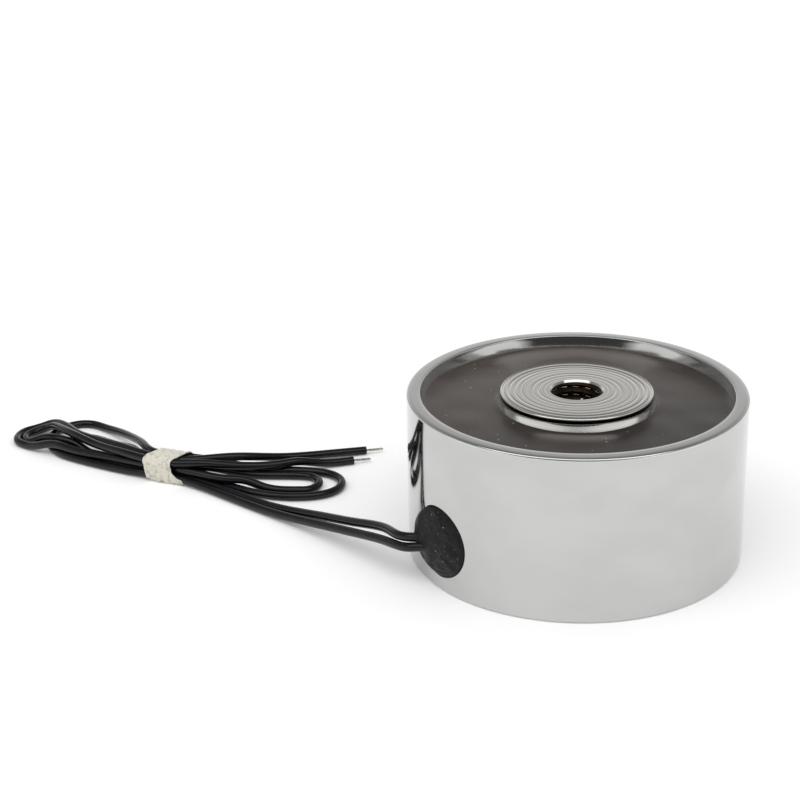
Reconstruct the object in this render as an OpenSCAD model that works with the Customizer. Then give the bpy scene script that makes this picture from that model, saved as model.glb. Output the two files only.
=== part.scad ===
// Holding electromagnet: a plated steel pot with a turned pole core, a potted
// coil and two insulated leads that leave through a sealed hole in the wall.
// The pot stands on its closed end, +Z is its axis, and sizes are millimetres.

/* [Pot] */
// Outside diameter of the pot
shell_d = 40; // [36:0.5:50]
// Height of the pot, from the mounting face to the rim
shell_h = 20; // [18:0.5:30]
// Thickness of the pot's wall
shell_wall = 1.65; // [1.2:0.05:2.2]
// Thickness of the pot's closed end
base_t = 3.5; // [2.8:0.1:4.5]
// Width of the bevel on the pot's outer edges
shell_bevel = 0.3; // [0.1:0.05:0.6]
// Width of the bevel on the inner edge of the rim
rim_bevel = 0.12; // [0.05:0.01:0.3]

/* [Pole core] */
// Width of the bevel on the edge of the pole face
core_bevel = 0.2; // [0.1:0.05:0.5]
// Diameter of the spigot that is pressed into the closed end
spigot_d = 11; // [9:0.5:14]
// Gap between the spigot and its hole, on the radius
spigot_fit = 0.02; // [0:0.01:0.05]
// Diameter of the tapped hole at the crest of its thread
thread_d = 5; // [4:0.1:6]
// Diameter of the countersink at each end of the tapped hole
countersink_d = 6.4; // [6.1:0.1:8]

/* [Coil] */
// Gap between the core and the bobbin, on the radius
bobbin_fit = 0.15; // [0.05:0.05:0.3]
// Thickness of the bobbin's tube
bobbin_wall = 0.8; // [0.5:0.05:1.2]
// Thickness of the bobbin's flanges
flange_t = 0.7; // [0.5:0.05:1]
// Gap between the flanges and the pot's wall
flange_gap = 0.65; // [0.5:0.05:0.9]
// Thickness of the winding, from the bobbin's tube to the tape
winding_t = 4.4; // [3.5:0.1:5.5]
// Depth of the winding below the flanges' edge
winding_room = 3.35; // [3:0.05:3.8]
// Thickness of the tape round the winding
tape_t = 0.25; // [0.1:0.05:0.4]
// Gap between the winding or its tape and the pieces beside it
coil_gap = 0.05; // [0.02:0.01:0.1]

/* [Potting] */
// Depth of the potting compound's surface below the rim
potting_depth = 1.65; // [1:0.05:2.4]
// Thickness of the potting compound above the bobbin
potting_cover = 1.2; // [0.8:0.05:2]
// Height to which the compound creeps up the wall and the core
creep = 0.4; // [0.2:0.05:0.7]

/* [Lead seal] */
// Diameter of the hole in the wall that the leads pass through
seal_d = 8.3; // [7.8:0.1:9.2]
// Height of the hole's centre above the mounting face
seal_z = 6.1; // [5.6:0.1:8]
// Direction of the hole from the axis, in degrees from +X
seal_angle = 220; // [214:1:226]
// Height by which the seal's domed face stands out of the hole
seal_crown = 1; // [0.5:0.05:1.2]
// Radius of the seal's domed face
seal_dome_r = 11.5; // [9:0.5:20]
// Distance by which the dome's crown lies off the hole's centre, toward the leads
seal_lean = 1.3; // [0:0.1:1.6]

/* [Leads] */
// Diameter of a lead over its insulation
lead_d = 1.1; // [0.9:0.05:1.1]
// Gap round a lead where it passes through another piece
lead_fit = 0.05; // [0.02:0.01:0.08]
// Diameter of a lead's bare end
tip_d = 0.45; // [0.3:0.05:0.6]
// Length of a lead's bare end
tip_len = 2.3; // [1:0.1:5]
// Length of the sleeve over the joint of lead and coil wire
splice_len = 4.4; // [4:0.1:4.8]
// Wall of that sleeve
splice_wall = 0.15; // [0.1:0.01:0.2]
// Length of insulated lead that the sleeve grips
splice_grip = 1.4; // [1:0.1:1.8]
// Diameter of the soldered joint in the sleeve
solder_d = 0.8; // [0.6:0.05:0.9]
// Length of the soldered joint
solder_len = 2; // [1.5:0.1:2.2]
// Diameter of the coil wire's tail
tail_d = 0.36; // [0.2:0.02:0.5]

/* [Hank tie] */
// Width of the paper band round the hank
tie_w = 4.2; // [3:0.1:6]
// Thickness of the paper band
tie_t = 0.14; // [0.1:0.01:0.15]

/* [Hidden] */
$fn = 96;

// A small overshoot that lets a cut pass through a face
over = 1;

// Radii from the pot's wall inward: the flanges, the winding, the bobbin's
// tube and the pole core, which fills what the coil leaves
shell_r = shell_d / 2;
bore_r = shell_r - shell_wall;
flange_r = bore_r - flange_gap;
winding_r = flange_r - winding_room;
tape_r = winding_r + tape_t;
tube_r = winding_r - winding_t;
bobbin_r = tube_r - bobbin_wall;
core_r = bobbin_r - bobbin_fit;

// Levels of the coil and of the compound over it
potting_z = shell_h - potting_depth;
bobbin_top = potting_z - potting_cover;
window_bottom = base_t + flange_t;
window_top = bobbin_top - flange_t;

// The seal starts just outside the flanges
seal_start = flange_r + 2 * coil_gap;
seal_face = shell_r + seal_crown;

// Colours
plated = [0.80, 0.80, 0.81];
turned = [0.70, 0.70, 0.70];
potting_grey = [0.27, 0.26, 0.25];
seal_black = [0.13, 0.14, 0.16];
lead_black = [0.16, 0.17, 0.19];
tinned = [0.75, 0.75, 0.73];
copper_enamel = [0.60, 0.27, 0.12];
nylon_white = [0.88, 0.86, 0.80];
tape_yellow = [0.85, 0.68, 0.22];
sleeve_clear = [0.82, 0.82, 0.80];
paper = [0.85, 0.83, 0.77];

// Geometry helpers
function polar(r, angle, z) = [r * cos(angle), r * sin(angle), z];
function clockwise(angle) = [sin(angle), -cos(angle), 0];
function unit(v) = v / norm(v);

// A point in the seal's own frame: out along its axis, sideways along the wall
function at_seal(out, side, z) =
    out * [cos(seal_angle), sin(seal_angle), 0] + side * clockwise(seal_angle) + [0, 0, z];

// Where each lead comes clear of the seal: out from the wall, sideways along
// it and above the hole's centre
exit_out = 0.95;
exit_side = [2.3, 3.5];
exit_rise = [-1.3, -0.55];
function lead_exit(i) = at_seal(shell_r + exit_out, exit_side[i], seal_z + exit_rise[i]);

// Each lead runs straight through the seal, at a slant to its axis, from a
// joint with its coil wire in the gap between the coil and the wall
lead_slant = 55.5;
lead_fall = [0.07, 0.17];
splice_from = 6.8;
function lead_dir(i) = unit(polar(1, seal_angle - lead_slant, -lead_fall[i]));
function behind_exit(i, distance) = lead_exit(i) - distance * lead_dir(i);
function lead_start(i) = behind_exit(i, splice_from + splice_grip);

// Free route of each lead: down to the floor, then folded into a hank of four
// runs through the band at x = -54. On the left a short wide loop lies on the
// floor and a long one over its end, and on the right there is one loop
free_a = [
    [-19.2, -11.3, 4.5], [-21.7, -9, 4], [-25.5, -5.4, 3.1], [-31, -0.6, 1.8], [-37, 4, 0.8],
    [-43, 8.3, 0.55], [-52.3, 14.1, 0.75], [-56.5, 15.4, 0.75], [-60.5, 16.9, 0.55],
    [-64.5, 18.6, 0.55], [-67.6, 20.1, 0.55], [-70.1, 21.7, 0.55], [-72, 24.3, 0.55],
    [-72.6, 28, 0.55], [-71.3, 30.8, 0.55], [-68.8, 31.9, 0.55], [-66.2, 30.8, 0.55], [-63.2, 28.2, 1],
    [-60.3, 24.6, 1.75], [-57.9, 20.6, 2.6], [-55.87, 17.68, 2.85], [-51.67, 16.38, 2.85],
    [-47.5, 16.9, 2.1], [-43, 17.5, 1], [-39, 17.7, 0.55], [-34.5, 17.6, 0.55], [-31.4, 16.4, 0.55],
    [-30.2, 14, 0.55], [-31.2, 11.4, 0.55], [-34.3, 9.9, 0.55], [-38, 9.8, 0.55], [-41.4, 10.7, 0.55],
    [-46, 13.2, 0.55], [-51.67, 16.38, 0.75], [-55.87, 17.68, 0.75], [-60, 19.7, 0.6],
    [-64, 21.3, 0.55], [-66, 22.1, 0.6], [-68, 23, 1.35], [-69.8, 23.5, 1.72], [-71.9, 24.2, 1.75],
    [-73.6, 24.8, 1.25], [-74.9, 25, 0.7], [-75.9, 25.8, 0.55], [-76.3, 27, 0.55], [-75.9, 28.2, 0.55],
    [-74.9, 29, 0.7], [-73.6, 29, 1.2], [-72.5, 28.2, 1.72], [-70.8, 26.1, 2.25], [-67.8, 23, 2.6],
    [-64.4, 20.4, 2.5], [-60.6, 17.8, 2.75], [-56.5, 15.4, 2.86], [-52.3, 14.1, 2.86],
    [-48.6, 14.2, 2.9], [-45.2, 14.8, 2.45], [-39.2, 17.1, 1.68], [-36.6, 18.4, 1.6],
    [-33.6, 19.9, 0.8], [-29.6, 21.5, 0.55]];
free_b = [
    [-20.1, -9.95, 5.3], [-22, -7.2, 4.8], [-26, -3.3, 3.55], [-31.5, 1.6, 1.95], [-37.5, 5.9, 0.8],
    [-43, 9.8, 0.55], [-52, 15.2, 0.75], [-56.2, 16.5, 0.75], [-60.3, 18.2, 0.55], [-64.2, 19.9, 0.55],
    [-67, 21.2, 0.55], [-68.7, 22.2, 0.55], [-69.8, 23.7, 0.55], [-69.8, 25.5, 0.55],
    [-68.3, 26.9, 0.55], [-66, 26.6, 0.55], [-62.6, 24.2, 0.8], [-59.8, 21.6, 1.5], [-57.9, 19, 1.75],
    [-56, 17.06, 1.83], [-51.78, 15.76, 1.83], [-47.5, 15.6, 1.66], [-43, 15.9, 0.75],
    [-38.3, 16.15, 0.55], [-35.5, 16.15, 0.55], [-34.35, 15.85, 0.55], [-33.5, 15, 0.55],
    [-33.2, 13.85, 0.55], [-33.5, 12.7, 0.55], [-34.35, 11.85, 0.55], [-35.5, 11.55, 0.6],
    [-39.6, 11.8, 0.7], [-42.6, 12.2, 1.55], [-45.2, 12.3, 1.65], [-48.9, 13.4, 1.75],
    [-52.22, 14.54, 1.8], [-56.42, 15.84, 1.8], [-60.3, 17.6, 1.6], [-64.2, 19.1, 1.55],
    [-67.8, 20.5, 1.6], [-70.9, 22, 1.7], [-73, 22.8, 1.15], [-75.3, 24, 0.55], [-76.8, 25.1, 0.55],
    [-77.4, 27, 0.55], [-76.8, 28.9, 0.55], [-75.3, 30, 0.65], [-73.4, 30.1, 1.3], [-71.8, 29, 1.75],
    [-70.3, 27.4, 1.95], [-68.2, 25, 2.05], [-64.4, 22.1, 2.35], [-60.2, 19.1, 2.75],
    [-56.2, 16.5, 2.85], [-52, 15.2, 2.85], [-48, 15.8, 2.9], [-44.4, 17.2, 2.65], [-39.1, 20.4, 1.3],
    [-33.4, 23.1, 0.7], [-28.3, 24.9, 0.55]];
route_a = concat([lead_start(0), lead_exit(0)], free_a);
route_b = concat([lead_start(1), lead_exit(1)], free_b);

// Place of the paper band: its middle, its heading along the hank, and the
// width and height of the eight strands that it holds
tie_mid = [-54.1, 15.85, 0];
tie_heading = 162.8;
tie_inside = [3.8, 3.3];
tie_corner = 0.6;
tie_lift = 0.02;

// Direction of a route at one of its points
function heading(route, i) =
    unit(route[min(i + 1, len(route) - 1)] - route[max(i - 1, 0)]);

// A ring of points round a route's point, square to the route there
cord_sides = 8;
function ring(route, i, r) =
    let (along = heading(route, i),
         side = unit(cross(along, [0, 0, 1])),
         up = cross(side, along))
    [for (k = [0 : cord_sides - 1])
        let (a = (k + 0.5) * 360 / cord_sides)
        route[i] + r * (cos(a) * side + sin(a) * up)];

// A round cord swept along the straight stretches between a route's points
module cord(route, d) {
    n = cord_sides;
    count = len(route);
    last = (count - 1) * n;
    points = [for (i = [0 : count - 1]) each ring(route, i, d / 2)];
    walls = [for (i = [0 : count - 2], k = [0 : n - 1])
        let (here = i * n + k, next = i * n + (k + 1) % n)
        each [[here, here + n, next], [next, here + n, next + n]]];
    start_cap = [for (k = [1 : n - 2]) [0, k, k + 1]];
    end_cap = [for (k = [1 : n - 2]) [last, last + k + 1, last + k]];
    polyhedron(points, concat(walls, start_cap, end_cap), convexity = 20);
}

// Turns a shape that stands on the origin so that +Z points along a direction
module aim(from, along) {
    v = unit(along);
    translate(from)
        rotate([0, acos(v[2]), atan2(v[1], v[0])])
            children();
}

// A rod between two points
module rod(from, to, d) {
    aim(from, to - from)
        cylinder(h = norm(to - from), d = d);
}

// The straight space of one lead, from its joint to beyond the seal
module lead_channel(i) {
    rod(lead_start(i), behind_exit(i, -2 * over), lead_d + 2 * lead_fit);
}

// The radial space of the hole in the wall
module seal_space(d) {
    aim(at_seal(seal_start, 0, seal_z), [cos(seal_angle), sin(seal_angle), 0])
        cylinder(h = shell_r, d = d);
}

// A ring of rectangular section about the axis
module ring_solid(r_in, r_out, z_low, z_high) {
    rotate_extrude()
        translate([r_in, z_low])
            square([r_out - r_in, z_high - z_low]);
}

module pot_shell() {
    spigot_hole_r = spigot_d / 2 + spigot_fit;
    color(plated)
        difference() {
            rotate_extrude()
                polygon([
                    [spigot_hole_r, 0],
                    [shell_r - shell_bevel, 0],
                    [shell_r, shell_bevel],
                    [shell_r, shell_h - shell_bevel],
                    [shell_r - shell_bevel, shell_h],
                    [bore_r + rim_bevel, shell_h],
                    [bore_r, shell_h - rim_bevel],
                    [bore_r, base_t],
                    [spigot_hole_r, base_t]]);
            seal_space(seal_d);
        }
}

module pole_core() {
    sink_depth = (countersink_d - thread_d) / 2;
    color(turned)
        rotate_extrude()
            polygon([
                [thread_d / 2, sink_depth],
                [countersink_d / 2, 0],
                [spigot_d / 2, 0],
                [spigot_d / 2, base_t],
                [core_r, base_t],
                [core_r, shell_h - core_bevel],
                [core_r - core_bevel, shell_h],
                [countersink_d / 2, shell_h],
                [thread_d / 2, shell_h - sink_depth]]);
}

module coil_bobbin() {
    color(nylon_white)
        rotate_extrude()
            polygon([
                [bobbin_r, base_t],
                [flange_r, base_t],
                [flange_r, window_bottom],
                [tube_r, window_bottom],
                [tube_r, window_top],
                [flange_r, window_top],
                [flange_r, bobbin_top],
                [bobbin_r, bobbin_top]]);
}

module coil_winding() {
    color(copper_enamel)
        ring_solid(tube_r + coil_gap, winding_r - coil_gap,
                   window_bottom + coil_gap, window_top - coil_gap);
}

module winding_tape() {
    color(tape_yellow)
        difference() {
            ring_solid(winding_r, tape_r, window_bottom + coil_gap, window_top - coil_gap);
            for (i = [0, 1])
                tail_path(i, tail_d + 2 * coil_gap);
        }
}

// Section of the compound: a cover over the bobbin and a skirt round the coil
module potting_section() {
    steps = 6;
    at_wall = [for (k = [0 : steps])
        let (a = 90 * k / steps)
        [bore_r - creep + creep * sin(a), potting_z + creep - creep * cos(a)]];
    at_core = [for (k = [steps : -1 : 0])
        let (a = 90 * k / steps)
        [core_r + creep - creep * sin(a), potting_z + creep - creep * cos(a)]];
    polygon(concat(
        [[core_r, bobbin_top], [flange_r, bobbin_top], [flange_r, window_top],
         [tape_r + coil_gap, window_top], [tape_r + coil_gap, window_bottom],
         [flange_r, window_bottom], [flange_r, base_t], [bore_r, base_t]],
        [for (k = [steps : -1 : 0]) at_wall[k]],
        [for (k = [steps : -1 : 0]) at_core[k]]));
}

module potting_compound() {
    sleeve_space = lead_d + 2 * (lead_fit + splice_wall + coil_gap);
    color(potting_grey)
        difference() {
            rotate_extrude()
                potting_section();
            seal_space(seal_d);
            for (i = [0, 1]) {
                lead_channel(i);
                sleeve_rod(i, sleeve_space, coil_gap);
                tail_path(i, tail_d + 2 * coil_gap);
            }
        }
}

module lead_seal() {
    dome_mid = at_seal(seal_face - seal_dome_r, seal_lean, seal_z);
    color(seal_black)
        difference() {
            intersection() {
                seal_space(seal_d);
                translate(dome_mid)
                    sphere(r = seal_dome_r);
            }
            for (i = [0, 1])
                lead_channel(i);
        }
}

// A rod along a joint's sleeve, longer at both ends by a gap
module sleeve_rod(i, d, gap) {
    rod(behind_exit(i, splice_from + splice_len + gap), behind_exit(i, splice_from - gap), d);
}

module splice_sleeve(i) {
    color(sleeve_clear)
        difference() {
            sleeve_rod(i, lead_d + 2 * (lead_fit + splice_wall), 0);
            sleeve_rod(i, lead_d + 2 * lead_fit, over);
        }
}

// The joint fills the sleeve's middle, from the end of the lead
solder_end = splice_from + splice_grip + solder_len;
module solder_joint(i) {
    color(tinned)
        rod(behind_exit(i, solder_end), lead_start(i), solder_d);
}

// The coil wire from the end of a joint, out of the sleeve and in to the winding
module tail_path(i, d) {
    turn = behind_exit(i, splice_from + splice_len + tail_d);
    angle = atan2(turn[1], turn[0]);
    inner = polar(winding_r - coil_gap - over, angle, turn[2]);
    difference() {
        union() {
            rod(turn - d / 2 * lead_dir(i), behind_exit(i, solder_end), d);
            rod(turn, inner, d);
        }
        cylinder(h = shell_h, r = winding_r - coil_gap);
    }
}

module coil_tail(i) {
    color(copper_enamel)
        tail_path(i, tail_d);
}

module lead(route) {
    color(lead_black)
        cord(route, lead_d);
}

// The bare end of a lead carries on in the lead's last direction
module lead_tip(route) {
    last = len(route) - 1;
    along = unit(route[last] - route[last - 1]);
    color(tinned)
        rod(route[last], route[last] + tip_len * along, tip_d);
}

// A rounded oblong that stands on y = 0
function oblong(w, h, r) =
    [for (corner = [0 : 3], k = [0 : 4])
        let (a = corner * 90 + k * 22.5,
             x = (corner == 0 || corner == 3) ? w / 2 - r : r - w / 2,
             y = (corner < 2) ? h - r : r)
        [x + r * cos(a), y + r * sin(a)]];

module hank_tie() {
    outer = tie_inside + 2 * [tie_t, tie_t];
    color(paper)
        translate(tie_mid + [0, 0, tie_lift])
            rotate([90, 0, tie_heading + 90])
                translate([0, 0, -tie_w / 2])
                    linear_extrude(tie_w)
                        difference() {
                            polygon(oblong(outer[0], outer[1], tie_corner + tie_t));
                            translate([0, tie_t])
                                polygon(oblong(tie_inside[0], tie_inside[1], tie_corner));
                        }
}

pot_shell();
pole_core();
coil_bobbin();
coil_winding();
winding_tape();
potting_compound();
lead_seal();
splice_sleeve(0);  // splice_sleeve_a
splice_sleeve(1);  // splice_sleeve_b
solder_joint(0);  // solder_joint_a
solder_joint(1);  // solder_joint_b
coil_tail(0);  // coil_tail_a
coil_tail(1);  // coil_tail_b
lead(route_a);  // lead_a
lead(route_b);  // lead_b
lead_tip(route_a);  // lead_tip_a
lead_tip(route_b);  // lead_tip_b
hank_tie();
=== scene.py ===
"""Looks of a holding electromagnet: a plated pot, a turned core, a potted coil and two leads.

Every piece is in metres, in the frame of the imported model: the pot stands on its closed end
at the origin, +Z is its axis, and the leads lie on the floor on the -X side.
"""

import logging
import math
from collections.abc import Iterable
from dataclasses import dataclass, field
from enum import Enum

import bmesh
import bpy
import numpy as np
from mathutils import Matrix


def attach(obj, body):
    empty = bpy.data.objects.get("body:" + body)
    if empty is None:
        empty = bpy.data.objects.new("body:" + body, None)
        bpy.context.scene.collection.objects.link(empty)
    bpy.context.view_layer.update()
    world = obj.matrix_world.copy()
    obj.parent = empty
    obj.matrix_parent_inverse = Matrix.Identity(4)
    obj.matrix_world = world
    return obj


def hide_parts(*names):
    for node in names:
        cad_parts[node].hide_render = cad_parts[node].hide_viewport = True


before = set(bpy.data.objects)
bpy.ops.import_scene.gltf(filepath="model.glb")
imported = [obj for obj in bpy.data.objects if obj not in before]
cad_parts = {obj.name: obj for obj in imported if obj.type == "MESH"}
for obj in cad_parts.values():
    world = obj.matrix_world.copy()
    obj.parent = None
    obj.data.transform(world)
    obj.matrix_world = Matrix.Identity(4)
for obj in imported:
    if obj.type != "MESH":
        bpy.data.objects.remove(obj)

LOG = logging.getLogger("electromagnet")
MM = 0.001
BODY = "root"

Socket = bpy.types.NodeSocket
Numbers = float | tuple[float, ...] | np.ndarray
Route = list[tuple[float, float, float]]

# Settings that many nodes share: noise of one cell per unit, and a mix of two colours
NOISE = {"Scale": 1.0, "Detail": 3.0, "Roughness": 0.55}
COLOURS = {"out": 2, "data_type": "RGBA"}
WHITE = (1.0, 1.0, 1.0, 1.0)

# Sizes of the pot, in millimetres, as in the solids
SHELL_R = 20.0
SHELL_H = 20.0
BORE_R = 18.35
BASE_T = 3.5
SHELL_BEVEL = 0.3
RIM_BEVEL = 0.12
SPIGOT_HOLE_R = 5.52

# Sizes of the pole core
CORE_R = 9.0
CORE_BEVEL = 0.2
SPIGOT_R = 5.5
THREAD_MINOR_R = 2.5
THREAD_MAJOR_R = 3.0
THREAD_PITCH = 1.0
COUNTERSINK_R = 3.2

# Sizes of the compound and of the seal
POTTING_Z = 18.35
POTTING_BOTTOM = 17.16
SEAL_R = 4.15
SEAL_Z = 6.1
SEAL_ANGLE = math.radians(220.0)
HOLE_AXIS = np.array([math.cos(SEAL_ANGLE), math.sin(SEAL_ANGLE), 0])
HOLE_SIDE = np.array([-math.sin(SEAL_ANGLE), math.cos(SEAL_ANGLE), 0])
SEAL_FACE = 21.0
SEAL_LEAN = 1.3
SEAL_DOME_R = 11.5
SEAL_BACK = 18.9

# Sizes of the leads and of the band round their hank
LEAD_D = 1.1
TIP_D = 0.45
TIP_LEN = 2.3
TIE_MID = (-54.1, 15.85)
TIE_HEADING = math.radians(162.8)

# How a lead's curve runs through its route: points on the first straight stretch, the power of
# the distance between knots that times the curve, and samples for each knot
STRAIGHT_KNOTS = 5
KNOT_POWER = 0.7
SAMPLES_PER_KNOT = 40

# Routes of the leads in millimetres, as in the solids. The first two points are the straight
# stretch through the seal.
ROUTE_A: Route = [
    (-9.645, -13.891, 5.373), (-17.527, -11.704, 4.800),
    (-19.2, -11.3, 4.5), (-21.7, -9, 4), (-25.5, -5.4, 3.1), (-31, -0.6, 1.8), (-37, 4, 0.8),
    (-43, 8.3, 0.55), (-52.3, 14.1, 0.75), (-56.5, 15.4, 0.75), (-60.5, 16.9, 0.55),
    (-64.5, 18.6, 0.55), (-67.6, 20.1, 0.55), (-70.1, 21.7, 0.55), (-72, 24.3, 0.55),
    (-72.6, 28, 0.55), (-71.3, 30.8, 0.55), (-68.8, 31.9, 0.55), (-66.2, 30.8, 0.55),
    (-63.2, 28.2, 1), (-60.3, 24.6, 1.75), (-57.9, 20.6, 2.6), (-55.87, 17.68, 2.85),
    (-51.67, 16.38, 2.85), (-47.5, 16.9, 2.1), (-43, 17.5, 1), (-39, 17.7, 0.55),
    (-34.5, 17.6, 0.55), (-31.4, 16.4, 0.55), (-30.2, 14, 0.55), (-31.2, 11.4, 0.55),
    (-34.3, 9.9, 0.55), (-38, 9.8, 0.55), (-41.4, 10.7, 0.55), (-46, 13.2, 0.55),
    (-51.67, 16.38, 0.75), (-55.87, 17.68, 0.75), (-60, 19.7, 0.6), (-64, 21.3, 0.55),
    (-66, 22.1, 0.6), (-68, 23, 1.35), (-69.8, 23.5, 1.72), (-71.9, 24.2, 1.75),
    (-73.6, 24.8, 1.25), (-74.9, 25, 0.7), (-75.9, 25.8, 0.55), (-76.3, 27, 0.55),
    (-75.9, 28.2, 0.55), (-74.9, 29, 0.7), (-73.6, 29, 1.2), (-72.5, 28.2, 1.72),
    (-70.8, 26.1, 2.25), (-67.8, 23, 2.6), (-64.4, 20.4, 2.5), (-60.6, 17.8, 2.75),
    (-56.5, 15.4, 2.86), (-52.3, 14.1, 2.86), (-48.6, 14.2, 2.9), (-45.2, 14.8, 2.45),
    (-39.2, 17.1, 1.68), (-36.6, 18.4, 1.6), (-33.6, 19.9, 0.8), (-29.6, 21.5, 0.55)]
ROUTE_B: Route = [
    (-10.508, -12.946, 6.924), (-18.298, -10.785, 5.550),
    (-20.1, -9.95, 5.3), (-22, -7.2, 4.8), (-26, -3.3, 3.55), (-31.5, 1.6, 1.95),
    (-37.5, 5.9, 0.8), (-43, 9.8, 0.55), (-52, 15.2, 0.75), (-56.2, 16.5, 0.75),
    (-60.3, 18.2, 0.55), (-64.2, 19.9, 0.55), (-67, 21.2, 0.55), (-68.7, 22.2, 0.55),
    (-69.8, 23.7, 0.55), (-69.8, 25.5, 0.55), (-68.3, 26.9, 0.55), (-66, 26.6, 0.55),
    (-62.6, 24.2, 0.8), (-59.8, 21.6, 1.5), (-57.9, 19, 1.75), (-56, 17.06, 1.83),
    (-51.78, 15.76, 1.83), (-47.5, 15.6, 1.66), (-43, 15.9, 0.75), (-38.3, 16.15, 0.55),
    (-35.5, 16.15, 0.55), (-34.35, 15.85, 0.55), (-33.5, 15, 0.55), (-33.2, 13.85, 0.55),
    (-33.5, 12.7, 0.55), (-34.35, 11.85, 0.55), (-35.5, 11.55, 0.6), (-39.6, 11.8, 0.7),
    (-42.6, 12.2, 1.55), (-45.2, 12.3, 1.65), (-48.9, 13.4, 1.75), (-52.22, 14.54, 1.8),
    (-56.42, 15.84, 1.8), (-60.3, 17.6, 1.6), (-64.2, 19.1, 1.55), (-67.8, 20.5, 1.6),
    (-70.9, 22, 1.7), (-73, 22.8, 1.15), (-75.3, 24, 0.55), (-76.8, 25.1, 0.55),
    (-77.4, 27, 0.55), (-76.8, 28.9, 0.55), (-75.3, 30, 0.65), (-73.4, 30.1, 1.3),
    (-71.8, 29, 1.75), (-70.3, 27.4, 1.95), (-68.2, 25, 2.05), (-64.4, 22.1, 2.35),
    (-60.2, 19.1, 2.75), (-56.2, 16.5, 2.85), (-52, 15.2, 2.85), (-48, 15.8, 2.9),
    (-44.4, 17.2, 2.65), (-39.1, 20.4, 1.3), (-33.4, 23.1, 0.7), (-28.3, 24.9, 0.55)]


class Tone(Enum):
    """Colours of the object's materials, of the painted light and shade on them, and of the floor, in
    sRGB.
    """

    NICKEL = "#c7c7c6"
    NICKEL_DULL = "#c2c2c1"
    STEEL = "#dbdad5"
    # The darker of the core face's rings of painted light and shade
    STEEL_RING_SHADE = "#bdbbb6"
    # Painted shade in the groove below the core's face
    GROOVE_SHADE = "#17161a"
    OIL = "#2b2118"
    EPOXY = "#241f1d"
    # Painted sheen on the compound, lighter towards the back and left
    EPOXY_SHEEN = "#5a524c"
    EPOXY_GLOSS = "#fff6ef"
    # Painted glints on pale specks of the core's bore, the compound and the seal
    PALE_GLINT = "#cfcac2"
    SEAL = "#0a0b0d"
    SEAL_GRAIN = "#101215"
    # Painted glints on the seal's grain
    SEAL_GLINT = "#505154"
    PVC = "#08090b"
    PVC_RUBBED = "#15171b"
    TIN = "#c9c6bf"
    TIN_DARK = "#8f8a82"
    PAPER = "#dcd8cc"
    PAPER_SHADE = "#a3a294"
    COPPER = "#a4562b"
    # Painted shade between the coil's turns
    COPPER_TURN_SHADE = "#6c3115"
    NYLON = "#e2dccb"
    TAPE = "#d9ae3c"
    SLEEVE = "#d2d2cc"
    FLOOR = "#fafafa"


def linear(tone: Tone) -> tuple[float, float, float, float]:
    """Turn an sRGB colour into the renderer's linear values.

    A channel is divided by 12.92 when it is very dark, and otherwise shifted by 0.055 and
    raised to the power of 2.4.

    Args:
        tone: The colour.

    Returns:
        Red, green, blue and alpha.
    """
    code = tone.value.lstrip("#")
    srgb = np.array([int(code[i:i + 2], 16) for i in (0, 2, 4)]) / 255.0
    values = np.where(srgb <= 0.04045, srgb / 12.92, ((srgb + 0.055) / 1.055) ** 2.4)
    return (*values.tolist(), 1.0)


# Mesh helpers

def quads_of_grid(rows: int, cols: int, wrap_rows: bool, wrap_cols: bool) -> np.ndarray:
    """Index the quads of a grid of points, each from its corner and the next row and column.

    Args:
        rows: Number of rows.
        cols: Number of points in a row.
        wrap_rows: Whether the last row joins the first.
        wrap_cols: Whether each row is closed.

    Returns:
        One row of four point indices for each quad.
    """
    i, j = np.meshgrid(np.arange(rows - (not wrap_rows)), np.arange(cols - (not wrap_cols)),
                       indexing="ij")
    i_next, j_next = (i + 1) % rows, (j + 1) % cols
    corners = (i * cols + j, i * cols + j_next, i_next * cols + j_next, i_next * cols + j)
    return np.stack(corners, axis=-1).reshape(-1, 4)


def capped_grid(rows: int, cols: int, first: int = 0) -> list[list[int]]:
    """The faces of a grid of closed rows, with a cap on its first and on its last row.

    Args:
        rows: Number of rows.
        cols: Number of points in a row.
        first: Index of its first point.

    Returns:
        The quads of its wall and its two caps.
    """
    index = first + np.arange(rows * cols).reshape(rows, cols)
    quads = quads_of_grid(rows, cols, False, True) + first
    return [*quads.tolist(), index[0].tolist()[::-1], index[-1].tolist()]


def profile_of(r: Numbers, z: Numbers) -> np.ndarray:
    """Profile points from radii and heights, either of which may be one number."""
    return np.stack(np.broadcast_arrays(np.atleast_1d(r), z), axis=-1).astype(float)


def arc(centre: tuple[float, float], radius: float, start: float, end: float,
        steps: int = 5) -> np.ndarray:
    """Profile points on an arc, from one angle to another in degrees."""
    a = np.radians(np.linspace(start, end, steps))
    return np.stack([centre[0] + radius * np.cos(a), centre[1] + radius * np.sin(a)], axis=-1)


def revolve(profile: np.ndarray, angles: np.ndarray) -> np.ndarray:
    """Turn a profile about +Z: radius times cosine, radius times sine, and height.

    Args:
        profile: Radius and height of each point.
        angles: The angles of the columns.

    Returns:
        Points, with one row for each point of the profile and one column for each angle.
    """
    r, z = profile[:, :1], profile[:, 1:]
    return np.stack([r * np.cos(angles), r * np.sin(angles), z + 0 * angles], axis=-1)


def round_angles(columns: int) -> np.ndarray:
    """Evenly spaced angles of a full turn, without the last, which is the first again."""
    return np.linspace(0, 2 * math.pi, columns, endpoint=False)


def from_hole(flat: np.ndarray, out: np.ndarray) -> np.ndarray:
    """Place points by the lead hole's axis: out along it, then sideways and up from it.

    Args:
        flat: Sideways and upward offsets from the axis.
        out: Distances along it from the pot's own axis.

    Returns:
        The points.
    """
    up = np.array([0, 0, 1.0])
    return out[:, None] * HOLE_AXIS + flat[:, :1] * HOLE_SIDE + (SEAL_Z + flat[:, 1:]) * up


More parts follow.
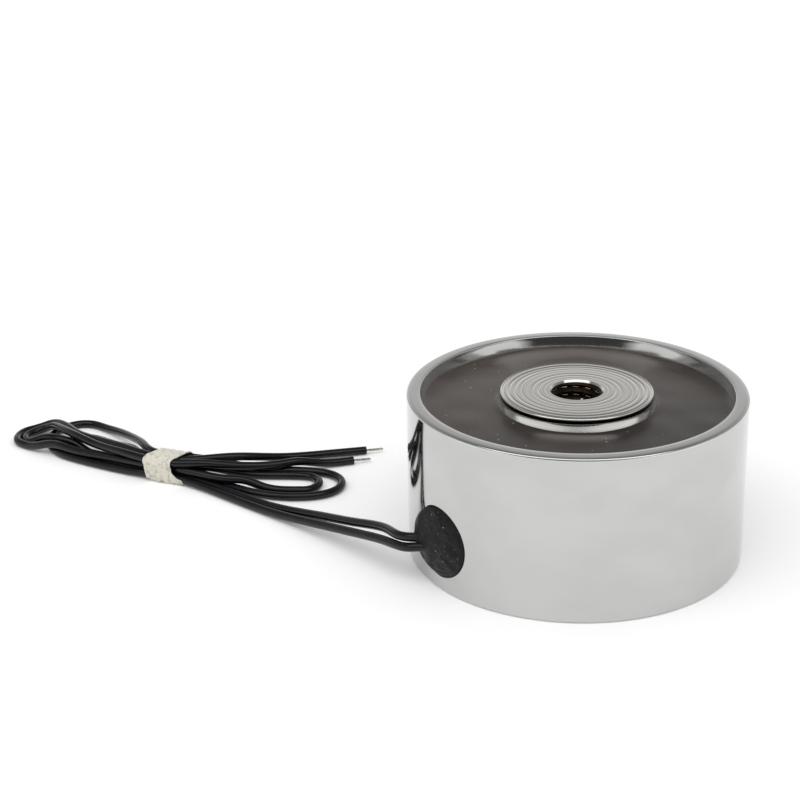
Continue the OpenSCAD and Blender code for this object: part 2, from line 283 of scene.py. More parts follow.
def face_outwards(mesh: bpy.types.Mesh) -> None:
    """Turn the faces of each closed shell in a mesh outwards.

    Args:
        mesh: The mesh.
    """
    shells = bmesh.new()
    shells.from_mesh(mesh)
    bmesh.ops.recalc_face_normals(shells, faces=shells.faces)
    shells.to_mesh(mesh)
    shells.free()


def add_mesh(name: str, points_mm: np.ndarray, faces: list[list[int]],
             crease_deg: float = 32.0) -> bpy.types.Object:
    """Make a smooth-shaded mesh object.

    Args:
        name: The piece's name.
        points_mm: Its points in millimetres.
        faces: Its faces, as lists of point indices.
        crease_deg: Edges that fold more than this stay sharp.

    Returns:
        The object, which rides on the part's one body.
    """
    mesh = bpy.data.meshes.new(name)
    mesh.from_pydata((points_mm.reshape(-1, 3) * MM).tolist(), [], faces)
    mesh.update()
    face_outwards(mesh)
    mesh.shade_smooth()
    mesh.set_sharp_from_angle(angle=math.radians(crease_deg))
    piece = bpy.data.objects.new(name, mesh)
    bpy.context.scene.collection.objects.link(piece)
    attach(piece, BODY)
    return piece


@dataclass(frozen=True)
class Unevenness:
    """Smooth seeded unevenness: its usual height, the mean distance of its crests and a seed."""

    height: float
    wavelength: float
    seed: int
    count: int = 24

    def over(self, points: np.ndarray) -> np.ndarray:
        """Work it out over places.

        It is the sum of plane waves of drawn directions, lengths and phases, divided by the
        square root of half their number.

        Args:
            points: Places in millimetres, with any number of axes.

        Returns:
            One height for each place.
        """
        rng = np.random.default_rng(self.seed)
        ways = rng.normal(size=(self.count, points.shape[-1]))
        ways *= (2 * math.pi / self.wavelength) / np.linalg.norm(ways, axis=1, keepdims=True)
        ways *= rng.uniform(0.6, 1.5, size=(self.count, 1))
        phases = rng.uniform(0, 2 * math.pi, size=self.count)
        total = np.cos(points @ ways.T + phases).sum(axis=-1)
        return self.height * (total / math.sqrt(self.count / 2))


def smooth_route(route: Route, spacing: float, floor: float) -> np.ndarray:
    """Lay a smooth curve through a route's points.

    It is a natural cubic spline, timed by a power of the distance between its knots. It is
    sampled finely, kept above the floor, and then spaced evenly.

    Args:
        route: The points in millimetres. The first stretch stays straight.
        spacing: Distance between the points of the result.
        floor: Lowest height of the curve's line.

    Returns:
        Evenly spaced points.
    """
    given = np.array(route, dtype=float)
    knots = np.vstack([np.linspace(given[0], given[1], STRAIGHT_KNOTS), given[2:]])
    step = np.linalg.norm(np.diff(knots, axis=0), axis=1) ** KNOT_POWER
    at = np.concatenate([[0], np.cumsum(step)])
    count = len(knots)
    inner = np.arange(1, count - 1)
    system = np.eye(count)
    system[inner, inner - 1] = step[:-1]
    system[inner, inner] = 2 * (step[:-1] + step[1:])
    system[inner, inner + 1] = step[1:]
    slope = np.diff(knots, axis=0) / step[:, None]
    pull = np.zeros_like(knots)
    pull[1:-1] = 6 * np.diff(slope, axis=0)
    curl = np.linalg.solve(system, pull)
    u = np.linspace(0, at[-1], SAMPLES_PER_KNOT * count)
    k = np.clip(np.searchsorted(at, u, side="right") - 1, 0, count - 2)
    b = ((u - at[k]) / step[k])[:, None]
    a = 1 - b
    square = (step[k] ** 2 / 6)[:, None]
    line = a * knots[k] + b * knots[k + 1]
    line += (a ** 3 - a) * square * curl[k] + (b ** 3 - b) * square * curl[k + 1]
    line[:, 2] = np.maximum(line[:, 2], floor)
    run = np.concatenate([[0], np.cumsum(np.linalg.norm(np.diff(line, axis=0), axis=1))])
    even = np.linspace(0, run[-1], round(run[-1] / spacing) + 1)
    return np.stack([np.interp(even, run, line[:, c]) for c in range(3)], axis=-1)


# Materials

class NodeBuilder:
    """A small builder for the nodes of a material or of the world."""

    def __init__(self, tree: bpy.types.NodeTree) -> None:
        """Work on a tree of nodes.

        Args:
            tree: The tree.
        """
        self.nodes = tree.nodes
        self.links = tree.links

    def add(self, kind: str, inputs: tuple | dict = (), out: int | str = 0,
            **options: object) -> Socket:
        """Add a node with its settings and links.

        Args:
            kind: The node's type, without the prefix that all types share.
            inputs: Values or outputs for its first inputs, or for inputs by name or number.
            out: Name or number of the output that is wanted.
            options: The node's own settings.

        Returns:
            That output.
        """
        node = self.nodes.new("ShaderNode" + kind)
        for key, value in options.items():
            setattr(node, key, value)
        pairs = inputs.items() if isinstance(inputs, dict) else enumerate(inputs)
        for key, value in pairs:
            self.give(node.inputs[key], value)
        return node.outputs[out]

    def give(self, socket: Socket, value: object) -> None:
        """Set an input's value or colour, or link an output to it.

        Args:
            socket: The input.
            value: A number, a vector, a tone or an output.
        """
        if isinstance(value, Socket):
            self.links.new(value, socket)
        elif isinstance(value, Tone):
            socket.default_value = linear(value)
        else:
            socket.default_value = value


class Shader(NodeBuilder):
    """The nodes of one material, with its principled shader."""

    def __init__(self, name: str) -> None:
        """Start a material.

        Args:
            name: The material's name.
        """
        self.material = bpy.data.materials.new(name)
        self.material.use_nodes = True
        super().__init__(self.material.node_tree)
        self.main = self.nodes["Principled BSDF"]

    def set(self, **values: object) -> None:
        """Set inputs of the principled shader, with _ for each space in their names."""
        for key, value in values.items():
            self.give(self.main.inputs[key.replace("_", " ")], value)

    def place(self, x: float, y: float | None = None, z: float | None = None) -> Socket:
        """The object's own coordinates, in cells per millimetre along each axis.

        Args:
            x: Cells per millimetre along X.
            y: The same along Y, or as along X.
            z: The same along Z, or as along X.

        Returns:
            The scaled coordinates.
        """
        scale = (x / MM, (x if y is None else y) / MM, (x if z is None else z) / MM)
        return self.add("Mapping", {"Vector": self.add("TexCoord", out="Object"), "Scale": scale})

    def turned_place(self) -> tuple[Socket, Socket]:
        """Where a point of a turned piece lies.

        Returns:
            Its distance from the object's axis, and its height along it.
        """
        at = self.add("TexCoord", out="Object")
        flat = self.add("VectorMath", (at, (1.0, 1.0, 0.0)), operation="MULTIPLY")
        radius = self.add("VectorMath", (flat,), out="Value", operation="LENGTH")
        return radius, self.add("SeparateXYZ", (at,), out="Z")

    def within(self, value: Socket, low: float, high: float) -> Socket:
        """Tell where a value in metres lies between two limits.

        Args:
            value: The value.
            low: The lower limit in millimetres.
            high: The upper limit in millimetres.

        Returns:
            The product of both tests: 1 between the limits and 0 elsewhere.
        """
        above = self.add("Math", (value, low * MM), operation="GREATER_THAN")
        below = self.add("Math", (value, high * MM), operation="LESS_THAN")
        return self.add("Math", (above, below), operation="MULTIPLY")

    def specks(self, cells_per_mm: float, size: float, share: float) -> Socket:
        """Sparse round specks: the middles of a few cells of a cell pattern.

        Args:
            cells_per_mm: How fine the cells are.
            size: Radius of a speck, as a share of a cell.
            share: Share of the cells that hold a speck.

        Returns:
            1 on a speck and 0 elsewhere.
        """
        distance = self.add("TexVoronoi", {"Vector": self.place(cells_per_mm), "Scale": 1.0},
                            out="Distance")
        pick = self.add("SeparateColor", (distance.node.outputs["Color"],))
        near = self.add("Math", (distance, size), operation="LESS_THAN")
        chosen = self.add("Math", (pick, share), operation="LESS_THAN")
        return self.add("Math", (near, chosen), operation="MULTIPLY")


@dataclass(frozen=True)
class BrightNickel:
    """Bright nickel plating on the turned pot: mirror-like, with a faint ripple."""

    name: str = "bright_nickel_plating"

    def make(self) -> bpy.types.Material:
        """Build it from broad clouds of tone, the lathe's lines and a soft ripple.

        Returns:
            The material.
        """
        s = Shader(self.name)
        soft = {**NOISE, "Detail": 2.0}
        clouds = s.add("TexNoise", {**soft, "Vector": s.place(0.12, 0.12, 0.2)})
        turning = s.add("TexNoise", {**soft, "Vector": s.place(0.02, 0.02, 7.0)})
        ripple = s.add("TexNoise", {**soft, "Vector": s.place(0.35)})
        dull = s.add("MapRange", (clouds, 0.35, 0.65, 0.0, 1.0))
        colour = s.add("Mix", {0: dull, 6: Tone.NICKEL, 7: Tone.NICKEL_DULL}, **COLOURS)
        polish = s.add("MapRange", (clouds, 0.3, 0.7, 0.06, 0.09))
        lines = s.add("Bump", {"Height": turning, "Distance": 0.0004 * MM})
        skin = s.add("Bump", {"Height": ripple, "Distance": 0.0012 * MM, "Normal": lines})
        s.set(Metallic=1.0, Base_Color=colour, Roughness=polish, Normal=skin)
        return s.material


@dataclass(frozen=True)
class TurnedSteel:
    """Lightly plated turned steel of the pole core, with rings left by the tool."""

    name: str = "turned_steel"
    # Where the painted shade in the groove lies: its heights and radii
    groove_z: tuple[float, float] = (19.36, 19.76)
    groove_r: tuple[float, float] = (8.8, 9.3)
    bore_r: float = 2.98

    def make(self) -> bpy.types.Material:
        """Build it from rings of painted light and shade by radius for the tool's rings, painted
        shade in the groove, and an oily bore with painted glints on its flecks.

        Returns:
            The material.
        """
        s = Shader(self.name)
        radius, height = s.turned_place()
        rings = s.add("TexNoise", {"W": radius, "Scale": 4.2 / MM, "Detail": 2.0, "Roughness": 0.7},
                      noise_dimensions="1D")
        grain = s.add("TexNoise", {**NOISE, "Vector": s.place(7.0)})
        # Painted shade in the groove below the face's edge
        groove = s.within(height, *self.groove_z)
        shaded_groove = s.add("Math", (groove, s.within(radius, *self.groove_r)), operation="MULTIPLY")
        bore = s.within(radius, 0.0, self.bore_r)
        # Painted glints: pale flecks on the bore's thread
        bore_glints = s.add("Math", (bore, s.specks(1.6, 0.22, 0.03)), operation="MULTIPLY")
        # The tool's rings, given painted light and shade: lighter and darker rings by radius
        ring_sheen = s.add("MapRange", (rings, 0.36, 0.62, 0.0, 1.0))
        colour = s.add("Mix", {0: ring_sheen, 6: Tone.STEEL_RING_SHADE, 7: Tone.STEEL}, **COLOURS)
        for share, tone in ((shaded_groove, Tone.GROOVE_SHADE), (bore, Tone.OIL), (bore_glints, Tone.PALE_GLINT)):
            colour = s.add("Mix", {0: share, 6: colour, 7: tone}, **COLOURS)
        polish = s.add("MapRange", (grain, 0.3, 0.7, 0.08, 0.14))
        oily = s.add("Math", (bore, 0.3), operation="MULTIPLY")
        skin = s.add("Bump", {"Height": grain, "Distance": 0.005 * MM})
        s.set(Metallic=1.0, Base_Color=colour, Roughness=s.add("Math", (polish, oily)), Normal=skin)
        return s.material


@dataclass(frozen=True)
class CastEpoxy:
    """Dark cast epoxy with painted sheen that is lighter towards the back, and a few pale specks of
    painted glints.
    """

    name: str = "cast_epoxy"
    # The way along which the painted sheen grows lighter
    sheen_way: tuple[float, float, float] = (-0.5, 0.93, 0.0)

    def make(self) -> bpy.types.Material:
        """Build it from painted sheen that grows lighter along its way, and painted glints on the
        other side.

        Returns:
            The material.
        """
        s = Shader(self.name)
        haze = s.add("TexNoise", {**NOISE, "Vector": s.place(0.25), "Detail": 4.0})
        fine = s.add("TexNoise", {**NOISE, "Vector": s.place(3.0)})
        at = s.add("TexCoord", out="Object")
        # Painted sheen and shade: lighter towards the back and left, darker towards the front and
        # right, made uneven by the haze
        along = s.add("VectorMath", (at, self.sheen_way), out="Value", operation="DOT_PRODUCT")
        painted_sheen = s.add("MapRange", (along, -13 * MM, 12 * MM, 0.05, 0.55))
        uneven = s.add("MapRange", (haze, 0.35, 0.75, 0.7, 1.3))
        sheen_share = s.add("Math", (painted_sheen, uneven), operation="MULTIPLY")
        colour = s.add("Mix", {0: sheen_share, 6: Tone.EPOXY, 7: Tone.EPOXY_SHEEN}, **COLOURS)
        # Painted glints: pale specks, more of them towards the left and front
        x = s.add("SeparateXYZ", (at,), out="X")
        left_front = s.add("Math", (x, x.node.outputs["Y"]))
        near = s.add("MapRange", (left_front, -6 * MM, 6 * MM, 1.0, 0.12))
        glint_chance = s.add("Math", (s.specks(1.25, 0.085, 0.3), near), operation="MULTIPLY")
        few = s.add("Math", (glint_chance, 0.4), operation="GREATER_THAN")
        colour = s.add("Mix", {0: few, 6: colour, 7: Tone.PALE_GLINT}, **COLOURS)
        gloss = s.add("MapRange", (haze, 0.3, 0.7, 0.26, 0.34))
        skin = s.add("Bump", {"Height": fine, "Distance": 0.004 * MM})
        s.set(Base_Color=colour, Roughness=gloss, Normal=skin)
        s.set(Specular_IOR_Level=0.38, Specular_Tint=Tone.EPOXY_GLOSS)
        return s.material


@dataclass(frozen=True)
class SealCompound:
    """Black poured compound with a granular skin and painted glints here and there."""

    name: str = "seal_compound"

    def make(self) -> bpy.types.Material:
        """Build it from a coarse grain with two sizes of pale specks, which are painted glints.

        Returns:
            The material.
        """
        s = Shader(self.name)
        grain = s.add("TexNoise", {**NOISE, "Vector": s.place(6.0), "Roughness": 0.7})
        crests = s.add("MapRange", (grain, 0.45, 0.75, 0.0, 1.0))
        colour = s.add("Mix", {0: crests, 6: Tone.SEAL, 7: Tone.SEAL_GRAIN}, **COLOURS)
        # Painted glints: grey specks and a few pale ones on the grain
        for share, tone in ((s.specks(2.6, 0.22, 0.16), Tone.SEAL_GLINT),
                            (s.specks(2.1, 0.12, 0.09), Tone.PALE_GLINT)):
            colour = s.add("Mix", {0: share, 6: colour, 7: tone}, **COLOURS)
        gloss = s.add("MapRange", (grain, 0.3, 0.7, 0.3, 0.5))
        skin = s.add("Bump", {"Height": grain, "Distance": 0.06 * MM})
        s.set(Base_Color=colour, Roughness=gloss, Normal=skin, Specular_IOR_Level=0.2)
        return s.material


@dataclass(frozen=True)
class LeadInsulation:
    """Black PVC of the leads, extruded and a little rubbed, with a soft gloss."""

    name: str = "lead_insulation"

    def make(self) -> bpy.types.Material:
        """Build it from rubbed patches and a fine extruded skin.

        Returns:
            The material.
        """
        s = Shader(self.name)
        rub = s.add("TexNoise", {**NOISE, "Vector": s.place(0.45), "Detail": 4.0})
        fine = s.add("TexNoise", {**NOISE, "Vector": s.place(6.0), "Detail": 2.0})
        worn = s.add("MapRange", (rub, 0.4, 0.75, 0.0, 0.8))
        colour = s.add("Mix", {0: worn, 6: Tone.PVC, 7: Tone.PVC_RUBBED}, **COLOURS)
        gloss = s.add("MapRange", (rub, 0.3, 0.7, 0.14, 0.24))
        skin = s.add("Bump", {"Height": fine, "Distance": 0.004 * MM})
        s.set(Base_Color=colour, Roughness=gloss, Normal=skin, Specular_IOR_Level=0.35)
        return s.material


@dataclass(frozen=True)
class TinnedCopper:
    """Tinned copper strands and solder: soft bright metal, darker in patches."""

    name: str = "tinned_copper"

    def make(self) -> bpy.types.Material:
        """Build it from one noise for tone, polish and unevenness.

        Returns:
            The material.
        """
        s = Shader(self.name)
        dull = s.add("TexNoise", {**NOISE, "Vector": s.place(4.0)})
        dark = s.add("MapRange", (dull, 0.4, 0.7, 0.0, 1.0))
        colour = s.add("Mix", {0: dark, 6: Tone.TIN, 7: Tone.TIN_DARK}, **COLOURS)
        polish = s.add("MapRange", (dull, 0.3, 0.7, 0.22, 0.4))
        skin = s.add("Bump", {"Height": dull, "Distance": 0.01 * MM})
        s.set(Metallic=1.0, Base_Color=colour, Roughness=polish, Normal=skin)
        return s.material


@dataclass(frozen=True)
class PaperTape:
    """Creased cream paper tape with a fine fibre."""

    name: str = "paper_tape"

    def make(self) -> bpy.types.Material:
        """Build it from stains between the creases, and fibres drawn coarser so that they show.

        Returns:
            The material.
        """
        s = Shader(self.name)
        rough = {**NOISE, "Roughness": 0.65}
        fibre = s.add("TexNoise", {**rough, "Vector": s.place(3.5), "Detail": 5.0})
        stain = s.add("TexNoise", {**rough, "Vector": s.place(1.5), "Detail": 4.0})
        shaded = s.add("MapRange", (stain, 0.5, 0.68, 0.0, 0.8))
        colour = s.add("Mix", {0: shaded, 6: Tone.PAPER, 7: Tone.PAPER_SHADE}, **COLOURS)
        matt = s.add("MapRange", (fibre, 0.3, 0.7, 0.6, 0.8))
        skin = s.add("Bump", {"Height": fibre, "Distance": 0.03 * MM})
        s.set(Base_Color=colour, Roughness=matt, Normal=skin, Specular_IOR_Level=0.3)
        return s.material


@dataclass(frozen=True)
class EnamelledCopper:
    """Enamelled copper wire, with the turns of the winding as fine ridges."""

    name: str = "enamelled_copper"

    def make(self) -> bpy.types.Material:
        """Build it from bands along the axis for the turns, drawn coarser so that they show, with
        painted shade between them.

        Returns:
            The material.
        """
        s = Shader(self.name)
        turns = s.add("TexWave", {"Vector": s.place(1.0), "Scale": 0.9, "Distortion": 0.3}, out=1,
                      bands_direction="Z")
        # Painted shade: darker in the grooves between the turns, lighter on their crests
        colour = s.add("Mix", {0: turns, 6: Tone.COPPER_TURN_SHADE, 7: Tone.COPPER}, **COLOURS)
        skin = s.add("Bump", {"Height": turns, "Distance": 0.08 * MM})
        s.set(Metallic=0.9, Base_Color=colour, Roughness=0.28, Normal=skin, Coat_Weight=0.4)
        return s.material


@dataclass(frozen=True)
class MouldedPlastic:
    """Plain moulded or wrapped plastic of a hidden piece."""

    name: str
    tone: Tone
    shade: Tone
    roughness: float

    def make(self) -> bpy.types.Material:
        """Build it from a plain tone with a faint grain.

        Returns:
            The material.
        """
        s = Shader(self.name)
        grain = s.add("TexNoise", {**NOISE, "Vector": s.place(2.0)})
        uneven = s.add("MapRange", (grain, 0.4, 0.9, 0.0, 0.4))
        colour = s.add("Mix", {0: uneven, 6: self.tone, 7: self.shade}, **COLOURS)
        skin = s.add("Bump", {"Height": grain, "Distance": 0.01 * MM})
        s.set(Base_Color=colour, Roughness=self.roughness, Normal=skin)
        return s.material


def dress(node: str, material: bpy.types.Material) -> None:
    """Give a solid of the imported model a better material.

    Args:
        node: The solid's name.
        material: The material.
    """
    slots = bpy.data.objects[node].material_slots
    if not slots:
        bpy.data.objects[node].data.materials.append(material)
    for slot in slots:
        slot.material = material


# Sub-assemblies

@dataclass
class PotShell:
    """The plated pot with its drilled and countersunk lead hole."""

    finish: BrightNickel = field(default_factory=BrightNickel)
    # The wall's square patch round the hole: half its side, and degrees between its columns
    patch: float = 5.2
    patch_step: float = 3.75
    # The hole's countersink, and the rings between the patch and it
    mouth: float = 0.2
    ring_shares: tuple[float, ...] = (0.7, 0.4, 0.18, 0.05, 0.0)
    far_columns: int = 320
    # Rows of the section: radii and heights where its straight runs have points
    underside_r: tuple[float, ...] = (SPIGOT_HOLE_R, 9.0, 13.0, 17.0, 19.2)
    wall_foot: float = 0.6
    wall_rows: int = 18
    land_r: tuple[float, ...] = (19.3, 18.9)
    bore_z: tuple[float, ...] = (17.4, 16.0, 10.0, BASE_T)
    floor_r: tuple[float, ...] = (14.0, 9.0, SPIGOT_HOLE_R)
    # The bore narrows from the rim down to the compound
    taper: float = 0.34
    taper_top: float = 19.86
    taper_drop: float = 1.36

    def build(self) -> bpy.types.Object:
        """Build the pot: its section turned about its axis, with a patch cut out for the hole.

        Returns:
            The piece that stands for the pot.
        """
        half = np.radians(np.arange(-45, 45 + self.patch_step / 2, self.patch_step))
        reach = self.patch * np.tan(half)
        near = SEAL_ANGLE + np.arcsin(reach / SHELL_R)
        far = np.linspace(near[-1], near[0] + 2 * math.pi, self.far_columns + 2)[1:-1]
        angles = np.concatenate([near, far])
        profile, (first, below, above) = self.section(SEAL_Z + reach)
        points = revolve(profile, angles).reshape(-1, 3)
        cols = len(angles)
        quads = quads_of_grid(len(profile), cols, True, True)
        row, col = np.divmod(quads[:, 0], cols)
        last = len(half) - 1
        in_patch = (row >= first) & (row < first + last) & (col < last)
        on_wall = (row >= first - below) & (row < first + above)
        patch = np.add.outer(np.arange(last + 1) * cols, np.arange(last + 1)).ravel()
        ring, ring_faces, ring_on_wall = self.hole(points, first * cols + patch)
        faces = quads[~in_patch].tolist() + ring_faces
        piece = add_mesh("nickel_plated_pot", np.vstack([points, ring]), faces)
        self.true_normals(piece, np.concatenate([on_wall[~in_patch], ring_on_wall]))
        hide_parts("pot_shell")
        piece.data.materials.append(self.finish.make())
        return piece

    def section(self, patch_rows: np.ndarray) -> tuple[np.ndarray, tuple[int, int, int]]:
        """The pot's closed section: straight runs joined by quarter arcs.

        Args:
            patch_rows: Heights of the wall's rows beside the lead hole.

        Returns:
            The section, and the first row beside the hole with the numbers of wall rows
            below it and from it up.
        """
        edge, rim, top = SHELL_BEVEL, RIM_BEVEL, SHELL_H
        above = np.linspace(patch_rows[-1], top - edge, self.wall_rows)[1:-1]
        share = np.linspace(0.05, 1, 6)
        parts = [profile_of(self.underside_r, 0.0),
                 arc((SHELL_R - edge, edge), edge, -90, 0),
                 profile_of(SHELL_R, self.wall_foot),
                 profile_of(SHELL_R, patch_rows),
                 profile_of(SHELL_R, above),
                 arc((SHELL_R - edge, top - edge), edge, 0, 90),
                 profile_of(self.land_r, top),
                 arc((BORE_R + rim, top - rim), rim, 90, 180),
                 profile_of(BORE_R - self.taper * share, self.taper_top - self.taper_drop * share),
                 profile_of(BORE_R, self.bore_z),
                 profile_of(self.floor_r, BASE_T)]
        first = sum(len(part) for part in parts[:3])
        return np.vstack(parts), (first, len(parts[2]) + 1, len(parts[3]) + len(parts[4]))

    def hole(self, points: np.ndarray,
             border: np.ndarray) -> tuple[np.ndarray, list[list[int]], np.ndarray]:
        """The rings that lead from the wall's square patch to the round hole, and its pocket.

        Each ring's radius lies between the square and the mouth by a share.

        Args:
            points: The grid's points.
            border: Indices of the grid's points in the patch.

        Returns:
            The added points, the added faces, and which of those lie on the wall.
        """
        count = round(360 / self.patch_step)
        a = np.radians(np.arange(count) * self.patch_step)
        way = np.stack([np.cos(a), np.sin(a)], axis=-1)
        square = self.patch / np.abs(way).max(axis=1)
        mouth = SEAL_R + self.mouth
        radii = mouth + np.multiply.outer(self.ring_shares, square - mouth)
        on_wall = [self.on_wall(way * r[:, None], 0.0) for r in radii]
        neck = self.on_wall(way * SEAL_R, self.mouth)
        back = from_hole(way * SEAL_R, np.full(count, SEAL_BACK))
        rings = np.stack([*on_wall, neck, back])
        outer = self.on_wall(way * square[:, None], 0.0)
        gaps = np.linalg.norm(points[border][None] - outer[:, None], axis=2)
        added = len(points) + np.arange(len(rings) * count).reshape(-1, count)
        index = np.vstack([border[gaps.argmin(axis=1)], added])
        step = np.roll(index, -1, axis=1)
        strips = np.stack([index[:-1], step[:-1], step[1:], index[1:]], axis=-1).reshape(-1, 4)
        faces = [*strips.tolist(), index[-1].tolist()]
        flags = np.arange(len(faces)) < len(self.ring_shares) * count
        return rings.reshape(-1, 3), faces, flags

    def on_wall(self, flat: np.ndarray, inset: float) -> np.ndarray:
        """Points of the wall's outside at offsets from the hole's axis, a little inset."""
        return from_hole(flat, np.sqrt(SHELL_R ** 2 - flat[:, 0] ** 2) - inset)

    def true_normals(self, piece: bpy.types.Object, on_wall: np.ndarray) -> None:
        """Give the wall's faces the normals of a true cylinder, so that it mirrors evenly.

        A normal there is the point without its height, made one unit long.

        Args:
            piece: The pot.
            on_wall: Which faces lie on the wall's outside.
        """
        mesh = piece.data
        totals = np.empty(len(mesh.polygons), dtype=int)
        mesh.polygons.foreach_get("loop_total", totals)
        corner = np.empty(len(mesh.loops), dtype=int)
        mesh.loops.foreach_get("vertex_index", corner)
        co = np.empty(3 * len(mesh.vertices))
        mesh.vertices.foreach_get("co", co)
        normals = co.reshape(-1, 3)[corner] * (1, 1, 0)
        normals /= np.maximum(np.linalg.norm(normals, axis=1, keepdims=True), 1e-9)
        normals[~np.repeat(on_wall, totals)] = 0
        mesh.normals_split_custom_set(normals.tolist())


@dataclass
class PoleCore:
    """The turned core with the tool's rings on its face and a tapped hole through it.

    A real tool leaves rings about 0.1 mm apart. They are drawn coarser, so that they show.
    """

    finish: TurnedSteel = field(default_factory=TurnedSteel)
    columns: int = 240
    face_rows: int = 220
    face_margin: tuple[float, float] = (0.03, 0.05)
    # The tool's rings on the face: distance, depth, and range and seed of their drawn shares
    ring_pitch: float = 0.7
    ring_depth: float = 0.075
    ring_shares: tuple[float, float] = (0.2, 1.1)
    ring_seed: int = 5
    # The groove below the face's edge, and the side that flares out below it
    groove_z: tuple[float, float] = (19.5, 19.38)
    flare: float = 0.42
    flare_top: float = 19.36
    flare_drop: float = 1.06
    flare_foot: tuple[float, float] = (18.1, 17.6)
    foot_r: float = 4.4
    bore_rows: int = 260
    # The thread's flank and crest, as shares of its depth
    thread_slope: float = 1.35
    thread_crest: float = 0.15

    def build(self) -> bpy.types.Object:
        """Build the core: its outside turned about its axis, closed by the tapped hole's wall.

        Returns:
            The piece that stands for the core.
        """
        angles = round_angles(self.columns)
        points = np.concatenate([revolve(self.section(), angles), self.bore(angles)])
        faces = quads_of_grid(len(points), self.columns, True, True)
        piece = add_mesh("turned_pole_core", points, faces.tolist(), 38.0)
        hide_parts("pole_core")
        piece.data.materials.append(self.finish.make())
        return piece

    def section(self) -> np.ndarray:
        """The core's outside, from the countersink over the face and down to the spigot.

        A ring is a cut of a raised cosine to the third power, as deep as its own drawn share.

        Returns:
            Radius and height of each point.
        """
        inner, outer = self.face_margin
        r = np.linspace(CORE_R - CORE_BEVEL - outer, COUNTERSINK_R + inner, self.face_rows)[::-1]
        rng = np.random.default_rng(self.ring_seed)
        ring = (CORE_R - r) / self.ring_pitch
        turn = ring.astype(int)
        depths = rng.uniform(*self.ring_shares, size=turn.max() + 1) ** 2
        cut = 0.5 - 0.5 * np.cos(2 * math.pi * ring)
        z = SHELL_H - self.ring_depth * depths[turn] * cut ** 3
        share = np.linspace(0, 1, 5)
        return np.vstack([
            profile_of(r, z),
            arc((CORE_R - CORE_BEVEL, SHELL_H - CORE_BEVEL), CORE_BEVEL, 85, 0, 6),
            profile_of(CORE_R, self.groove_z),
            profile_of(CORE_R + self.flare * share, self.flare_top - self.flare_drop * share),
            profile_of(CORE_R + self.flare, self.flare_foot[0]),
            profile_of(CORE_R, (self.flare_foot[1], BASE_T)),
            profile_of(SPIGOT_R, (BASE_T, 0.0)),
            profile_of(self.foot_r, 0.0)])

    def bore(self, angles: np.ndarray) -> np.ndarray:
        """The tapped hole's wall, from the lower countersink up to the face.

        The thread's depth is a triangle wave of height less angle, cut flat at its crests, and
        the countersinks are cones.

        Args:
            angles: The angles of the columns.

        Returns:
            Points, with one row for each height.
        """
        z = np.linspace(0, SHELL_H, self.bore_rows)[:, None]
        turn = z / THREAD_PITCH - angles / (2 * math.pi)
        ramp = np.abs(2 * (turn % 1.0) - 1)
        depth = np.clip(self.thread_slope * ramp - self.thread_crest, 0, 1)
        thread = THREAD_MINOR_R + (THREAD_MAJOR_R - THREAD_MINOR_R) * depth
        sink = np.maximum(COUNTERSINK_R - (SHELL_H - z), COUNTERSINK_R - z)
        r = np.maximum(thread, sink)
        return np.stack([r * np.cos(angles), r * np.sin(angles), z + 0 * angles], axis=-1)


@dataclass
class Potting:
    """The cast compound, hand-poured, that creeps a little up the wall and the core."""

    finish: CastEpoxy = field(default_factory=CastEpoxy)
    columns: int = 288
    rows: int = 60
    core_gap: float = 0.3
    # How the compound climbs the wall and the core: heights, their limits, and how fast they fade
    wall_creep: float = 0.42
    wall_ragged: Unevenness = Unevenness(0.09, 9.0, 3)
    wall_limits: tuple[float, float] = (0.2, 0.75)
    wall_fade: float = 0.4
    core_creep: float = 0.12
    core_start: float = 0.42
    core_fade: float = 0.3
    skin: Unevenness = Unevenness(0.012, 6.0, 8)

    def build(self) -> bpy.types.Object:
        """Build the compound: a level ring that climbs by an exponential at both its edges.

        Returns:
            The piece that stands for the compound.
        """
        angles = round_angles(self.columns)
        share = 0.5 - 0.5 * np.cos(np.linspace(0, math.pi, self.rows))
        r = CORE_R + self.core_gap + (BORE_R - CORE_R - self.core_gap) * share
        top = revolve(profile_of(r, POTTING_Z), angles)
        ragged = self.wall_creep + self.wall_ragged.over(top[-1, :, :2])
        at_wall = np.clip(ragged, *self.wall_limits) * np.exp(-(BORE_R - r) / self.wall_fade)[:, None]
        at_core = self.core_creep * np.exp(-(r - CORE_R - self.core_start) / self.core_fade)[:, None]
        top[..., 2] += at_wall + at_core + self.skin.over(top[..., :2])
        base = revolve(profile_of((BORE_R, CORE_R), POTTING_BOTTOM), angles)
        points = np.concatenate([top, base])
        faces = quads_of_grid(len(points), self.columns, True, True)
        piece = add_mesh("cast_compound", points, faces.tolist(), 50.0)
        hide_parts("potting_compound")
        piece.data.materials.append(self.finish.make())
        return piece


